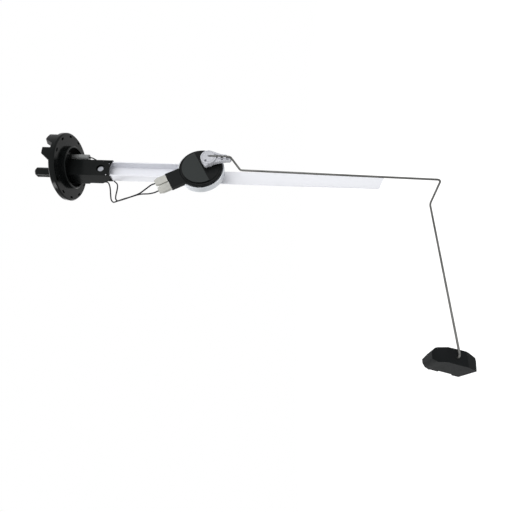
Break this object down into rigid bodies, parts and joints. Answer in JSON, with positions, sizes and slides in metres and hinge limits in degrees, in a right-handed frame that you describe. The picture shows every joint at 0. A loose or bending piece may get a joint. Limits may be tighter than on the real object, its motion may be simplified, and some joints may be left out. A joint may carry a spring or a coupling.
{
  "type": "tank level sensor",
  "caption": "Lever-type tank level sensor: flange with plug stub, aluminium rail, rotary resistor head, wire arm and foam float.",
  "frame": {"origin": "middle of the flange's face on the tank's side, on the spigot's axis", "axes": "+Z out of the tank along the spigot's axis, the rail hangs along -Z, the head looks along -Y and the float lies out along -X"},
  "size_m": [0.2289, 0.088, 0.443],
  "materials": {
    "black_moulding": "satin moulded black plastic",
    "cover_moulding": "satin moulded black plastic",
    "anodised_rail": "clear anodised, satin",
    "base_metal": "satin cast metal",
    "rivet_metal": "bright",
    "brass_contact": "bright",
    "tinned_blade": "tinned",
    "spring_bronze": "bright spring bronze",
    "grey_sleeve": "matt insulating sleeve",
    "lead_insulation": "satin",
    "ceramic_card": "ceramic board with printed tracks",
    "clear_sleeve": "translucent off-white",
    "white_moulding": "white moulded plastic, slightly translucent",
    "wire_steel": "drawn stainless wire",
    "float_foam": "closed-cell foam with a fine skin"
  },
  "bodies": {
    "frame": {"flange": "black_moulding", "contact_upper": "brass_contact", "contact_lower": "brass_contact", "rail": "anodised_rail", "rail_rivet": "rivet_metal", "sleeve_upper": "grey_sleeve", "sleeve_lower": "grey_sleeve", "lead_upper": "lead_insulation", "lead_lower": "lead_insulation", "head_base": "base_metal", "head_rivets": "rivet_metal", "head_cover": "cover_moulding", "resistor_card": "ceramic_card", "tail_blade_upper": "tinned_blade", "tail_blade_lower": "tinned_blade", "receptacle_upper": "brass_contact", "receptacle_lower": "brass_contact", "clear_sleeve_upper": "clear_sleeve", "clear_sleeve_lower": "clear_sleeve", "pivot_pin": "rivet_metal"},
    "arm": {"wiper_carrier": "white_moulding", "wiper_spring": "spring_bronze", "lever": "white_moulding", "wire_arm": "wire_steel", "float_clip": "rivet_metal"},
    "float": {"float": "float_foam"}
  },
  "joints": [
    {"name": "lever_swing", "type": "hinge", "parent": "frame", "child": "arm", "pos_m": [-0.0036, 0, -0.15366], "axis": [0, 1, 0], "range_deg": [0, 75]},
    {"name": "float_swivel", "type": "hinge", "parent": "arm", "child": "float", "pos_m": [-0.183, 0.03, -0.3874], "axis": [0, 1, 0], "continuous": true}
  ]
}
